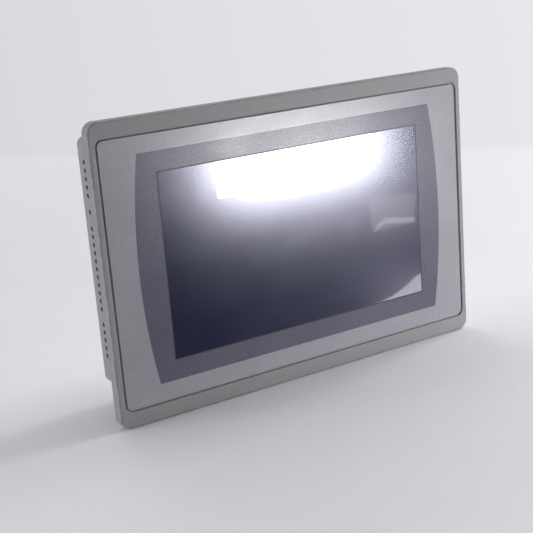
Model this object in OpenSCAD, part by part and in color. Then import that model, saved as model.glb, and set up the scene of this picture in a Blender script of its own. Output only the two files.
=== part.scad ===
// Nine-inch widescreen operator terminal for a cabinet door.
// Axes: X to the right seen from the front, Y from the front to the back, Z up.
// Origin: centre of the sealing face, where the panel gasket meets the cabinet door.
// All sizes are in millimetres.

/* [Bezel] */
// Width of the front bezel
bezel_w = 280; // [278:1:290]
// Height of the front bezel
bezel_h = 190; // [188:1:198]
// Thickness of the bezel from its front face to its back face
bezel_t = 8.3; // [8:0.1:10]
// Corner radius of the bezel
bezel_r = 7; // [4:0.5:12]
// How far the uncompressed gasket stands proud of the bezel's back
gasket_proud = 0.8; // [0.4:0.1:1.5]

/* [Front overlay] */
// Width of the printed overlay sheet
overlay_w = 269.4; // [266:0.2:270]
// Height of the printed overlay sheet
overlay_h = 167; // [162:0.5:172]
// Corner radius of the overlay sheet
overlay_r = 3.8; // [2:0.1:8]
// Thickness of the overlay sheet
overlay_t = 0.4; // [0.2:0.1:0.5]
// Width of the groove that runs round the overlay
overlay_groove = 1.3; // [0.8:0.1:1.6]

/* [Display] */
// Width of the window through the bezel
window_w = 201; // [198:1:202]
// Height of the window through the bezel
window_h = 122; // [119:1:123]
// Thickness of the touch sensor
touch_t = 1.5; // [1.1:0.1:2]
// Thickness of the display module
lcd_t = 6.5; // [5.5:0.5:7]

/* [Housing] */
// Width of the rear housing, which passes through the cabinet's cut-out
housing_w = 251.6; // [251:0.1:252]
// Height of the rear housing
housing_h = 161.6; // [161:0.1:162]
// Depth of the housing behind the sealing face
housing_d = 43.7; // [43:0.1:50]
// Outer corner radius of the housing
housing_r = 5; // [3:0.5:7]
// Wall thickness of the housing
wall = 2.4; // [2:0.1:2.6]
// Diameter of each vent hole
vent_d = 3; // [2:0.1:3.5]
// Distance between neighbouring vent holes
vent_pitch = 5.27; // [5:0.01:5.3]

/* [Main board] */
// Width of the main board
board_w = 222; // [216:1:224]
// Height of the main board
board_h = 136; // [134:1:136]
// Gap between the display bracket and the main board
standoff_h = 8.6; // [8:0.1:10]

/* [Moving parts] */
// Distance the supply plug slides to come out of its header
plug_travel = 12; // [10:1:20]
// Distance each clamp cage rises when its screw is tightened
cage_travel = 2; // [1:0.1:2.2]
// Travel of the reset button
reset_travel = 0.8; // [0.4:0.1:0.8]

/* [Hidden] */
$fn = 48;
over = 1;                       // how far a cutting solid runs past what it cuts

// Stack of layers, from the front to the back
recess_d = 0.6;
groove_d = 1.3;
tape_t = 0.5;
ledge_t = 1.4;
foam_t = 0.8;
bracket_t = 1.2;
board_t = 1.6;
y_back = -gasket_proud;
y_front = y_back - bezel_t;
y_recess = y_front + recess_d;
y_touch = y_recess + touch_t;
y_tape = y_touch + tape_t;
y_ledge = y_tape + ledge_t;
y_lcd = y_ledge + foam_t;
y_bracket = y_lcd + lcd_t;
y_standoff = y_bracket + bracket_t;
y_board = y_standoff + standoff_h;
y_parts = y_board + board_t;
y_rear = housing_d;
y_inside = y_rear - wall;

// Outlines
overlay_z = 0.3;
screen_z = 0.8;
touch_w = window_w + 16;
touch_h = window_h + 16;
touch_gap = 0.5;
pocket_w = 240;
pocket_h = 150;
gasket_w = 8;
gasket_out_w = bezel_w - 8;
gasket_out_h = bezel_h - 8;
gasket_groove = 1.2;
lcd_w = 211;
lcd_h = 127;
lcd_open_w = 199;
lcd_open_h = 120;
lcd_wall = 1;
lcd_lip = 0.5;
inside_w = housing_w - 2 * wall;
inside_h = housing_h - 2 * wall;
bottom = -housing_h / 2;        // outer face of the housing's bottom wall
bottom_in = bottom + wall;

// M3 screws
m3_shank = 1.45;
m3_tapped = 1.5;
m3_clear = 1.7;
m3_head = 2.8;
m3_head_h = 1.8;

// Fixing points, as [x, z]
boss_r = 3.5;
bracket_points = [for (x = [-104, -38, 38, 104], z = [-69, 69]) [x, z]];
post_points = [for (x = [-118.6, 0, 118.6], z = [-73.6, 73.6]) [x, z]];
post_top = 10;
post_notch = 4.6;
housing_boss_r = 4.2;
counterbore_r = 3.2;
board_points = [for (x = [-100, 0, 100], z = [-58, 58]) [x, z]];

// Vent pattern: a row of 25 places, some of them left blank
vent_places = concat([0, 1, 2, 3, 4, 6], [for (i = [8:18]) i], [for (i = [20:24]) i]);
vent_top = 65.8;
vent_y = 34.9;
top_vents = 13;
top_vent_x = 52;

// Slots that the mounting levers hook into
slot_w = 14;
slot_d = 3.6;
slot_y = 7;
slot_x = 70;

// Supply header and its plug
poles = [-5.08, 0, 5.08];
plug_x = -88;
header_w = 19.2;
header_h = 8.6;
header_len = 12.2;
nose_w = 17;
nose_h = 6.2;
nose_gap = 0.3;
nose_len = 8;
plug_w = 18;
plug_h = 13.6;
plug_len = 12;
plug_y = y_parts - 0.2;
pin_y = y_parts + 4.3;
pin_side = 1;
plug_z = bottom - 0.2 - plug_len;
chamber_z = plug_z + 2.5;
chamber_h = 5;
cage_w = 4.2;
cage_h = 6;
cage_wall = 0.8;
cage_y = plug_y + 1.2;
clamp_r = 1.1;
clamp_head_r = 1.7;
clamp_head_y = plug_y + 11.2;
bar_y = pin_y + 0.3;

// Ports on the bottom wall
jack_x = -48;
jack_w = 16;
jack_h = 13.4;
jack_len = 21;
usb_b_x = -20;
usb_b_w = 12;
usb_b_h = 10.9;
usb_b_len = 16.5;
usb_a_x = [14, 36];
usb_a_w = 13.2;
usb_a_h = 5.8;
usb_a_len = 14.5;
port_wall = 0.4;
port_gap = 0.3;
port_z = bottom + 0.2;
led_x = [70, 78];
pipe_r = 1.4;
pipe_y = y_parts + 1.6;
reset_x = 58;
reset_y = y_parts + 2;
reset_r = 1.9;
ground_x = -108;
ground_y = 27;
insert_r = 3.2;
card_z = -30;
card_w = 25;

// Battery and its door
door_x = 60;
door_z = 20;
door_w = 45;
door_h = 35;
door_t = 1.6;
door_gap = 0.3;
hinge_r = 0.8;
hinge_z = door_z + door_h / 2 - hinge_r;
hinge_y = y_rear - door_t / 2;
cell_r = 10;
cell_t = 3.2;
cell_y = y_parts + 11.6;

// Rating plate
plate_x = -50;
plate_z = -5;
plate_w = 70;
plate_h = 45;

// ---- Helpers ----

// Flat rectangle with true arcs at its corners
module rounded_rect(w, h, r) {
    square([w - 2 * r, h], center = true);
    square([w, h - 2 * r], center = true);
    for (sx = [-1, 1], sz = [-1, 1])
        translate([sx * (w / 2 - r), sz * (h / 2 - r)]) circle(r = r);
}

// Rounded plate that faces the front, from y0 to y1
module slab(w, h, r, y0, y1, x = 0, z = 0) {
    translate([x, y1, z]) rotate([90, 0, 0]) linear_extrude(y1 - y0) rounded_rect(w, h, r);
}

// Ring between two rounded rectangles, from y0 to y1
module ring(w, h, r, w_in, h_in, r_in, y0, y1, z = 0) {
    difference() {
        slab(w, h, r, y0, y1, 0, z);
        slab(w_in, h_in, r_in, y0 - over, y1 + over, 0, z);
    }
}

// Box given by its limits
module block(x0, x1, y0, y1, z0, z1) {
    translate([x0, y0, z0]) cube([x1 - x0, y1 - y0, z1 - z0]);
}

// Round rods along each axis
module rod_x(y, z, x0, x1, r) {
    translate([x0, y, z]) rotate([0, 90, 0]) cylinder(r = r, h = x1 - x0);
}

module rod_y(x, z, y0, y1, r) {
    translate([x, y1, z]) rotate([90, 0, 0]) cylinder(r = r, h = y1 - y0);
}

module rod_z(x, y, z0, z1, r) {
    translate([x, y, z0]) cylinder(r = r, h = z1 - z0);
}

// Cross-recess screw seated at [x, seat, z], with its head towards the back
module cross_screw(x, z, seat, length) {
    difference() {
        union() {
            rod_y(x, z, seat, seat + m3_head_h, m3_head);
            rod_y(x, z, seat - length, seat, m3_shank);
        }
        for (turn = [0, 90])
            translate([x, seat + m3_head_h, z]) rotate([0, turn, 0])
                cube([3, 2, 0.7], center = true);
    }
}

// ---- Front ----

module front_bezel() {
    color("dimgray") difference() {
        union() {
            difference() {
                slab(bezel_w, bezel_h, bezel_r, y_front, y_back);
                slab(overlay_w + 2 * overlay_groove, overlay_h + 2 * overlay_groove,
                    overlay_r + overlay_groove, y_front - over, y_recess, 0, overlay_z);
                ring(overlay_w + 2 * overlay_groove, overlay_h + 2 * overlay_groove,
                    overlay_r + overlay_groove, overlay_w, overlay_h, overlay_r,
                    y_recess - over, y_front + groove_d, overlay_z);
                slab(touch_w + 2 * touch_gap, touch_h + 2 * touch_gap, 1,
                    y_front - over, y_tape, 0, screen_z);
                slab(window_w, window_h, 1, y_front - over, y_back + over, 0, screen_z);
                slab(pocket_w, pocket_h, 3, y_ledge, y_back + over);
                ring(gasket_out_w, gasket_out_h, 6, gasket_out_w - 2 * gasket_w,
                    gasket_out_h - 2 * gasket_w, 3, y_back - gasket_groove, y_back + over);
                block(tail_x - 0.7, tail_x + 0.9, y_tape - over, y_ledge + over,
                    screen_z - 7, screen_z + 7);
            }
            for (p = bracket_points) rod_y(p[0], p[1], y_ledge - 0.4, y_bracket, boss_r);
            for (p = post_points) rod_y(p[0], p[1], y_ledge - 0.4, post_top, boss_r);
        }
        for (p = bracket_points) rod_y(p[0], p[1], y_ledge + 0.6, y_bracket + over, m3_tapped);
        for (p = post_points) rod_y(p[0], p[1], -3, post_top + over, m3_tapped);
    }
}

module front_overlay() {
    color("darkgray") slab(overlay_w, overlay_h, overlay_r, y_recess - overlay_t, y_recess,
        0, overlay_z);
}

module panel_gasket() {
    color("black") ring(gasket_out_w, gasket_out_h, 6, gasket_out_w - 2 * gasket_w,
        gasket_out_h - 2 * gasket_w, 3, y_back - gasket_groove, 0);
}

// ---- Touch sensor and display ----

module touch_sensor() {
    color("lightsteelblue") slab(touch_w, touch_h, 0.5, y_recess, y_touch, 0, screen_z);
}

tail_x = touch_w / 2 - 0.6;
tail_t = 0.3;
tail_w = 12;
tail_turn = y_standoff + 3.2;
tail_end_x = 101;

module touch_tape() {
    color("black") difference() {
        ring(touch_w, touch_h, 0.5, window_w, window_h, 1, y_touch, y_tape, screen_z);
        block(tail_x - 0.7, touch_w, y_touch - over, y_tape + over, screen_z - 7, screen_z + 7);
    }
}

module touch_tail() {
    color("goldenrod") translate([0, 0, screen_z - tail_w / 2]) {
        block(tail_x, tail_x + tail_t, y_touch, tail_turn, 0, tail_w);
        block(tail_end_x, tail_x + tail_t, tail_turn - tail_t, tail_turn, 0, tail_w);
        block(tail_end_x, tail_end_x + tail_t, tail_turn - tail_t, y_board - 2.4, 0, tail_w);
    }
}

module touch_connector() {
    color("ivory") block(tail_end_x - 3, tail_end_x + 3, y_board - 2.4, y_board,
        screen_z - 8, screen_z + 8);
}

module display_gasket() {
    color("black") ring(lcd_w - 1, lcd_h - 1, 0.5, window_w + 1, window_h + 1, 0.5,
        y_ledge, y_lcd, screen_z);
}

module lcd_frame() {
    color("silver") difference() {
        slab(lcd_w, lcd_h, 1, y_lcd, y_bracket, 0, screen_z);
        slab(lcd_open_w, lcd_open_h, 0.5, y_lcd - over, y_lcd + over, 0, screen_z);
        slab(lcd_w - 2 * lcd_wall, lcd_h - 2 * lcd_wall, 0.5, y_lcd + lcd_lip,
            y_bracket - lcd_wall, 0, screen_z);
    }
}

module lcd_glass() {
    color("midnightblue") slab(lcd_w - 2.6, lcd_h - 2.6, 0.5, y_lcd + lcd_lip,
        y_lcd + lcd_lip + 1.2, 0, screen_z);
}

module backlight() {
    color("white") slab(lcd_w - 2.6, lcd_h - 2.6, 0.5, y_lcd + lcd_lip + 1.2,
        y_bracket - lcd_wall, 0, screen_z);
}

cable_z = 33;
cable_x = -60;
cable_w = 30;
cable_t = 0.3;
cable_turn = y_standoff + 3.6;
cable_end_z = 26.5;

module display_bracket() {
    color("lightgray") difference() {
        slab(234, 145, 2, y_bracket, y_standoff);
        for (p = post_points) rod_y(p[0], p[1], y_bracket - over, y_standoff + over, post_notch);
        for (p = bracket_points) rod_y(p[0], p[1], y_bracket - over, y_standoff + over, m3_clear);
        slab(cable_w + 4, 6, 2, y_bracket - over, y_standoff + over, cable_x, cable_z);
        block(tail_x - 1.2, tail_x + 1.5, y_bracket - over, y_standoff + over,
            screen_z - 8, screen_z + 8);
        for (x = [-70, 0, 70])
            slab(44, 24, 4, y_bracket - over, y_standoff + over, x, -20);
    }
}

module bracket_screws() {
    color("silver") for (p = bracket_points) cross_screw(p[0], p[1], y_standoff, 6);
}

module display_cable() {
    color("orange") translate([cable_x - cable_w / 2, 0, 0]) {
        block(0, cable_w, y_bracket, cable_turn, cable_z, cable_z + cable_t);
        block(0, cable_w, cable_turn - cable_t, cable_turn, cable_end_z, cable_z + cable_t);
        block(0, cable_w, cable_turn - cable_t, y_board - 2.6, cable_end_z, cable_end_z + cable_t);
    }
}

module display_connector() {
    color("ivory") block(cable_x - 17, cable_x + 17, y_board - 2.6, y_board,
        cable_end_z - 2.5, cable_end_z + 2.5);
}

// ---- Main board and what it carries ----

module board_standoffs() {
    color("gold") for (p = board_points) difference() {
        translate([p[0], y_board, p[1]]) rotate([90, 0, 0])
            cylinder(r = 3.2, h = standoff_h, $fn = 6);
        rod_y(p[0], p[1], y_standoff - over, y_board + over, m3_tapped);
    }
}

module main_board() {
    color("darkgreen") difference() {
        union() {
            slab(board_w, board_h, 2, y_board, y_parts);
            // lower edge, which reaches the ports on either side of the middle post
            for (side = [-1, 1])
                slab(96, 24, 1, y_board, y_parts, side * 54, bottom_in + 14.4);
        }
        for (p = board_points) rod_y(p[0], p[1], y_board - over, y_parts + over, m3_clear);
    }
}

module board_screws() {
    color("silver") for (p = board_points) cross_screw(p[0], p[1], y_parts, 6);
}

cpu_x = -40;
cpu_z = 5;
cpu_side = 23;
cpu_t = 2;
pad_t = 0.5;

module processor() {
    color("black") slab(cpu_side, cpu_side, 0.5, y_parts, y_parts + cpu_t, cpu_x, cpu_z);
}

module thermal_pad() {
    color("lightblue") slab(cpu_side - 1, cpu_side - 1, 0.5, y_parts + cpu_t,
        y_parts + cpu_t + pad_t, cpu_x, cpu_z);
}

sink_w = 50;
sink_h = 40;
sink_base = 3;
sink_tall = 14;
fins = 9;
fin_t = 1.4;

module heat_sink() {
    sink_y = y_parts + cpu_t + pad_t;
    fin_step = (sink_w - fin_t) / (fins - 1);
    color("darkslategray") {
        block(cpu_x - sink_w / 2, cpu_x + sink_w / 2, sink_y, sink_y + sink_base,
            cpu_z - sink_h / 2, cpu_z + sink_h / 2);
        for (i = [0:fins - 1]) {
            fin_x = cpu_x - sink_w / 2 + i * fin_step;
            block(fin_x, fin_x + fin_t, sink_y, sink_y + sink_tall,
                cpu_z - sink_h / 2, cpu_z + sink_h / 2);
        }
    }
}

module memory_chips() {
    color("black") for (z = [-16, -2, 12, 26])
        block(-9, 1, y_parts, y_parts + 1.2, z - 5.5, z + 5.5);
}

module supply_capacitors() {
    color("navy") for (x = [-95, -83], z = [-45, -32])
        rod_y(x, z, y_parts, y_parts + 14, 5);
}

module supply_inductor() {
    color("gray") slab(12, 12, 2, y_parts, y_parts + 8, -66, -40);
}

// ---- Supply header and plug ----

module supply_header() {
    color("seagreen") difference() {
        block(plug_x - header_w / 2, plug_x + header_w / 2, y_parts, y_parts + header_h,
            bottom, bottom + header_len);
        block(plug_x - nose_w / 2 - nose_gap, plug_x + nose_w / 2 + nose_gap,
            pin_y - nose_h / 2 - nose_gap, pin_y + nose_h / 2 + nose_gap,
            bottom - over, bottom + header_len - 3.6);
        for (i = poles)
            block(plug_x + i - pin_side / 2, plug_x + i + pin_side / 2,
                pin_y - pin_side / 2, pin_y + pin_side / 2, bottom, 0);
    }
}

module header_pins() {
    color("silver") for (i = poles) {
        block(plug_x + i - pin_side / 2, plug_x + i + pin_side / 2,
            pin_y - pin_side / 2, pin_y + pin_side / 2, bottom + 1.3, bottom + 15.2);
        block(plug_x + i - pin_side / 2, plug_x + i + pin_side / 2,
            y_parts, pin_y + pin_side / 2, bottom + 14.2, bottom + 15.2);
    }
}

module power_plug() {
    color("mediumseagreen") difference() {
        union() {
            block(plug_x - plug_w / 2, plug_x + plug_w / 2, plug_y, plug_y + plug_h,
                plug_z, plug_z + plug_len);
            block(plug_x - nose_w / 2, plug_x + nose_w / 2, pin_y - nose_h / 2,
                pin_y + nose_h / 2, plug_z + plug_len - over, bottom + nose_len);
        }
        for (i = poles) translate([plug_x + i, 0, 0]) {
            // chamber for the clamp cage
            block(-cage_w / 2 - 0.2, cage_w / 2 + 0.2, cage_y - 0.2,
                cage_y + cage_h + cage_travel + 0.8, chamber_z, chamber_z + chamber_h);
            // channel for the contact
            block(-1.5, 1.5, pin_y - 1.5, pin_y + 1.5, chamber_z + chamber_h - over,
                bottom + nose_len + over);
            rod_z(0, cage_y + 2.2, plug_z - over, chamber_z + over, 1.6);
            rod_y(0, chamber_z + chamber_h / 2, cage_y + cage_h + cage_travel,
                plug_y + plug_h + over, clamp_r + 0.2);
            rod_y(0, chamber_z + chamber_h / 2, clamp_head_y - 0.1,
                plug_y + plug_h + over, clamp_head_r + 0.2);
        }
    }
}

module plug_contacts() {
    color("silver") for (i = poles) translate([plug_x + i, 0, 0]) {
        block(-1, 1, bar_y, bar_y + 0.8, chamber_z + 0.2, bottom + 1);
        difference() {
            block(-1.2, 1.2, pin_y - 1.2, pin_y + 1.2, bottom, bottom + nose_len - 0.6);
            block(-0.7, 0.7, pin_y - 0.7, pin_y + 0.7, bottom - over, bottom + nose_len + over);
        }
    }
}

// Slotted screw that lifts the cage, for the pole at offset i
module clamp_screw(i) {
    screw_z = chamber_z + chamber_h / 2;
    color("silver") difference() {
        union() {
            rod_y(plug_x + i, screw_z, bar_y + 0.9, clamp_head_y, clamp_r);
            rod_y(plug_x + i, screw_z, clamp_head_y, clamp_head_y + 1.6, clamp_head_r);
        }
        block(plug_x + i - 0.3, plug_x + i + 0.3, clamp_head_y + 0.8, clamp_head_y + 2,
            screw_z - 3, screw_z + 3);
    }
}

// Cage that pulls the wire up against the contact bar
module clamp_cage(i) {
    mid_z = chamber_z + chamber_h / 2;
    half_z = chamber_h / 2 - 0.4;
    color("lightgray") difference() {
        block(plug_x + i - cage_w / 2, plug_x + i + cage_w / 2, cage_y, cage_y + cage_h,
            mid_z - half_z, mid_z + half_z);
        block(plug_x + i - cage_w / 2 + cage_wall, plug_x + i + cage_w / 2 - cage_wall,
            cage_y + cage_wall, cage_y + cage_h - 1.2, mid_z - 5, mid_z + 5);
        rod_y(plug_x + i, mid_z, cage_y + cage_h - 2, cage_y + cage_h + over, clamp_r + 0.05);
    }
}

module clamp_screw_1() { clamp_screw(poles[0]); }
module clamp_screw_2() { clamp_screw(poles[1]); }
module clamp_screw_3() { clamp_screw(poles[2]); }
module clamp_cage_1() { clamp_cage(poles[0]); }
module clamp_cage_2() { clamp_cage(poles[1]); }
module clamp_cage_3() { clamp_cage(poles[2]); }

// ---- Data ports ----

// Sheet-metal port shell that opens downwards
module port_shell(x, w, h, length, depth) {
    difference() {
        block(x - w / 2, x + w / 2, y_parts, y_parts + h, port_z, port_z + length);
        block(x - w / 2 + port_wall, x + w / 2 - port_wall, y_parts + port_wall,
            y_parts + h - port_wall, port_z - over, port_z + depth);
    }
}

jack_cavity_w = 11.9;
jack_cavity_h = 7.2;
jack_cavity_y = y_parts + 3.2;
jack_depth = 12.5;
latch_w = 6;
latch_h = 1.6;

module ethernet_jack() {
    color("silver") difference() {
        block(jack_x - jack_w / 2, jack_x + jack_w / 2, y_parts, y_parts + jack_h,
            port_z, port_z + jack_len);
        block(jack_x - jack_cavity_w / 2, jack_x + jack_cavity_w / 2, jack_cavity_y,
            jack_cavity_y + jack_cavity_h, port_z - over, port_z + jack_depth);
        block(jack_x - latch_w / 2, jack_x + latch_w / 2, jack_cavity_y - latch_h,
            jack_cavity_y + over, port_z - over, port_z + jack_depth);
    }
}

module ethernet_contacts() {
    color("gold") for (i = [0:7]) {
        wire_x = jack_x + (i - 3.5) * 1.02;
        block(wire_x - 0.2, wire_x + 0.2, jack_cavity_y + jack_cavity_h - 0.5,
            jack_cavity_y + jack_cavity_h, port_z + 3, port_z + jack_depth);
    }
}

module usb_host_shells() {
    color("silver") for (x = usb_a_x) port_shell(x, usb_a_w, usb_a_h, usb_a_len, 11);
}

module usb_host_tongues() {
    color("white") for (x = usb_a_x)
        block(x - 5.5, x + 5.5, y_parts + 1.2, y_parts + 3, port_z + 1.5, port_z + 11);
}

module usb_device_shell() {
    color("silver") port_shell(usb_b_x, usb_b_w, usb_b_h, usb_b_len, 11);
}

module usb_device_tongue() {
    color("white") block(usb_b_x - 2.8, usb_b_x + 2.8, y_parts + 3.9, y_parts + 7,
        port_z + 1.5, port_z + 11);
}

module card_socket() {
    color("silver") difference() {
        block(86, housing_w / 2 - wall - 0.6, y_parts, y_parts + 3.2,
            card_z - 14, card_z + 14);
        block(90, housing_w, y_parts + 0.5, y_parts + 2.7, card_z - 12.2, card_z + 12.2);
    }
}

// ---- Battery ----

module battery_holder() {
    color("black") difference() {
        block(door_x - 12, door_x + 12, y_parts, y_parts + 8, door_z - 4, door_z + 4);
        rod_z(door_x, cell_y, door_z - cell_t / 2 - 0.2, door_z + cell_t / 2 + 0.2,
            cell_r + 0.2);
        block(door_x + 7, door_x + 9, y_parts + 1, y_parts + 9, door_z + 1.8, door_z + 5);
    }
}

module battery_clip() {
    color("gold") block(door_x + 7.2, door_x + 8.8, y_parts + 1, y_parts + 12,
        door_z + cell_t / 2 + 0.3, door_z + cell_t / 2 + 0.9);
}

module coin_cell() {
    color("silver") {
        rod_z(door_x, cell_y, door_z - cell_t / 2 + 0.4, door_z + cell_t / 2, cell_r);
        rod_z(door_x, cell_y, door_z - cell_t / 2, door_z, cell_r - 1.2);
    }
}

module battery_cover() {
    color("dimgray") difference() {
        union() {
            block(door_x - door_w / 2, door_x + door_w / 2, y_rear - door_t, y_rear,
                door_z - door_h / 2, hinge_z);
            rod_x(hinge_y, hinge_z, door_x - door_w / 2, door_x + door_w / 2, hinge_r);
            rod_x(hinge_y, hinge_z, door_x - door_w / 2 - 1.6, door_x + door_w / 2 + 1.6, 0.6);
        }
        // grip grooves beside the thumb scoop
        for (i = [0:3])
            block(door_x - 8, door_x + 8, y_rear - 0.4, y_rear + over,
                door_z - door_h / 2 + 2 + 2 * i, door_z - door_h / 2 + 3 + 2 * i);
    }
}

// ---- Reset button, status lights and earth terminal ----

switch_z = bottom + 12.2;

module reset_switch() {
    color("black") {
        block(reset_x - 3, reset_x + 3, y_parts, y_parts + 4, switch_z, switch_z + 6);
        rod_z(reset_x, reset_y, switch_z - 0.6, switch_z + over, 1);
    }
}

module reset_button() {
    color("dimgray") {
        rod_z(reset_x, reset_y, bottom - reset_travel, bottom_in + 0.5, reset_r);
        rod_z(reset_x, reset_y, bottom_in + 0.1, bottom_in + 0.9, reset_r + 1);
        rod_z(reset_x, reset_y, bottom_in + 0.5, switch_z - 0.6 - reset_travel - 0.2, 1.2);
    }
}

module status_leds() {
    color("white") for (x = led_x)
        block(x - 1.2, x + 1.2, y_parts, y_parts + 2.2, -board_h / 2 + 0.2, -board_h / 2 + 2.2);
}

module light_pipes() {
    color("honeydew") for (x = led_x)
        rod_z(x, pipe_y, bottom, -board_h / 2 - 0.1, pipe_r);
}

module ground_insert() {
    color("gold") difference() {
        rod_z(ground_x, ground_y, bottom, bottom + 8, insert_r);
        rod_z(ground_x, ground_y, bottom - over, bottom + 7, 2);
    }
}

module ground_washer() {
    color("silver") difference() {
        rod_z(ground_x, ground_y, bottom - 1, bottom, 4.5);
        rod_z(ground_x, ground_y, bottom - 1 - over, bottom + over, 2.2);
    }
}

module ground_screw() {
    color("gold") difference() {
        union() {
            rod_z(ground_x, ground_y, bottom - 3.4, bottom - 1, 3.8);
            rod_z(ground_x, ground_y, bottom - 1, bottom + 6, 1.95);
        }
        block(ground_x - 5, ground_x + 5, ground_y - 0.5, ground_y + 0.5,
            bottom - 4, bottom - 2.2);
    }
}

// ---- Housing ----

// One row of vent holes through a side wall, to the left (-1) or the right (1)
module side_vents(side) {
    for (i = vent_places)
        rod_x(vent_y, vent_top - i * vent_pitch, side * housing_w / 2 - 2 * wall,
            side * housing_w / 2 + 2 * wall, vent_d / 2);
}

// Two groups of vent holes through the top wall
module top_wall_vents() {
    for (side = [-1, 1], i = [0:top_vents - 1])
        rod_z(side * top_vent_x + (i - (top_vents - 1) / 2) * vent_pitch, vent_y,
            housing_h / 2 - 2 * wall, housing_h / 2 + wall, vent_d / 2);
}

module lever_slots() {
    for (x = [-slot_x, slot_x]) {
        block(x - slot_w / 2, x + slot_w / 2, slot_y, slot_y + slot_d,
            -housing_h / 2 - over, -inside_h / 2 + over);
        block(x - slot_w / 2, x + slot_w / 2, slot_y, slot_y + slot_d,
            inside_h / 2 - over, housing_h / 2 + over);
    }
    block(-housing_w / 2 - over, -inside_w / 2 + over, slot_y, slot_y + slot_d,
        -slot_w / 2, slot_w / 2);
    block(inside_w / 2 - over, housing_w / 2 + over, slot_y, slot_y + slot_d,
        -slot_w / 2, slot_w / 2);
}

// Opening in the bottom wall for a port of this width and height
module port_opening(x, w, h) {
    block(x - w / 2 - port_gap, x + w / 2 + port_gap, y_parts - port_gap,
        y_parts + h + port_gap, bottom - over, bottom_in + over);
}

module battery_opening() {
    slab(door_w - 5, door_h - 7, 1, y_inside - 5, y_rear + over, door_x, door_z - 1);
    block(door_x - door_w / 2 - door_gap, door_x + door_w / 2 + door_gap,
        y_rear - door_t - 0.2, y_rear + over,
        door_z - door_h / 2 - door_gap, door_z + door_h / 2 + door_gap);
    block(door_x - 8, door_x + 8, y_rear - 1.2, y_rear + over,
        door_z - door_h / 2 - 4, door_z - door_h / 2);
    rod_x(hinge_y, hinge_z, door_x - door_w / 2 - 2, door_x + door_w / 2 + 2, 0.65);
}

module rear_housing() {
    color("slategray") difference() {
        union() {
            difference() {
                slab(housing_w, housing_h, housing_r, y_back, y_rear);
                slab(inside_w, inside_h, housing_r - wall, y_back - over, y_inside);
            }
            for (p = post_points) rod_y(p[0], p[1], post_top, y_rear - 1, housing_boss_r);
            slab(door_w + 6, door_h + 6, 2, y_inside - 1.6, y_rear - 1, door_x, door_z);
            block(ground_x - 5, ground_x + 5, ground_y - 5, ground_y + 5, bottom, bottom + 9);
        }
        for (p = post_points) {
            rod_y(p[0], p[1], post_top - over, y_rear, m3_clear);
            rod_y(p[0], p[1], post_top + 2.5, y_rear + over, counterbore_r);
        }
        side_vents(-1);
        side_vents(1);
        top_wall_vents();
        lever_slots();
        port_opening(plug_x, header_w, header_h);
        port_opening(jack_x, jack_w, jack_h);
        port_opening(usb_b_x, usb_b_w, usb_b_h);
        for (x = usb_a_x) port_opening(x, usb_a_w, usb_a_h);
        for (x = led_x) rod_z(x, pipe_y, bottom - over, bottom_in + over, pipe_r + 0.1);
        rod_z(reset_x, reset_y, bottom - over, bottom_in + over, reset_r + 0.1);
        rod_z(ground_x, ground_y, bottom - over, bottom + 8, insert_r);
        block(inside_w / 2 - over, housing_w / 2 + over, y_parts, y_parts + 3.2,
            card_z - card_w / 2, card_z + card_w / 2);
        battery_opening();
        slab(plate_w, plate_h, 2, y_rear - 0.3, y_rear + over, plate_x, plate_z);
    }
}

module housing_screws() {
    color("silver") for (p = post_points) cross_screw(p[0], p[1], post_top + 2.5, 14);
}

module rating_plate() {
    color("gainsboro") slab(plate_w - 0.6, plate_h - 0.6, 1.7, y_rear - 0.3, y_rear - 0.05,
        plate_x, plate_z);
}

// ---- Assembly ----

front_bezel();
front_overlay();
touch_sensor();
touch_tape();
touch_tail();
touch_connector();
display_gasket();
lcd_frame();
lcd_glass();
backlight();
display_bracket();
bracket_screws();
panel_gasket();
board_standoffs();
main_board();
board_screws();
display_connector();
display_cable();
processor();
thermal_pad();
heat_sink();
memory_chips();
supply_capacitors();
supply_inductor();
supply_header();
header_pins();
power_plug();
plug_contacts();
clamp_screw_1();
clamp_screw_2();
clamp_screw_3();
clamp_cage_1();
clamp_cage_2();
clamp_cage_3();
ethernet_jack();
ethernet_contacts();
usb_host_shells();
usb_host_tongues();
usb_device_shell();
usb_device_tongue();
card_socket();
battery_holder();
battery_clip();
coin_cell();
battery_cover();
reset_switch();
reset_button();
status_leds();
light_pipes();
ground_insert();
ground_washer();
ground_screw();
rear_housing();
housing_screws();
rating_plate();
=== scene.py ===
import math
import bmesh
import bpy
from mathutils import Matrix, Vector


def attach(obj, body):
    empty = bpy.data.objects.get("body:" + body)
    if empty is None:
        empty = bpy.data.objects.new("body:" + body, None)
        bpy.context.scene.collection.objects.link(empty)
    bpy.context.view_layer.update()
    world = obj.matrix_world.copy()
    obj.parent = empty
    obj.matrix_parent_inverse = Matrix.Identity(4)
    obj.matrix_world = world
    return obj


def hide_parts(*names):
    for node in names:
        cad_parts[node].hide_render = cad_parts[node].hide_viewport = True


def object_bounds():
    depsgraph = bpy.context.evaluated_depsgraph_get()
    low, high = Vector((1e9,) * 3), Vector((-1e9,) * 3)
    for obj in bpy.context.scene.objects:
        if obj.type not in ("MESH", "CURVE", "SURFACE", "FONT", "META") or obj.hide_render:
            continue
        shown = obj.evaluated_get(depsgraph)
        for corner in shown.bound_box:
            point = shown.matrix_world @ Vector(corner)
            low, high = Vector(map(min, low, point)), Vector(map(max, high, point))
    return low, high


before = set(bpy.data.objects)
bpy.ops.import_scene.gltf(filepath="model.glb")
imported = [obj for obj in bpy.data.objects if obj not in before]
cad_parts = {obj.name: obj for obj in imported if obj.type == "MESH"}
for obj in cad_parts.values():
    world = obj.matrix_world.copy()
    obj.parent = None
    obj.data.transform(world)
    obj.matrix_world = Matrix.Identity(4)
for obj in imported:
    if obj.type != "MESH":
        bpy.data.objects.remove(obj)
cad_low, cad_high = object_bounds()
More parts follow.
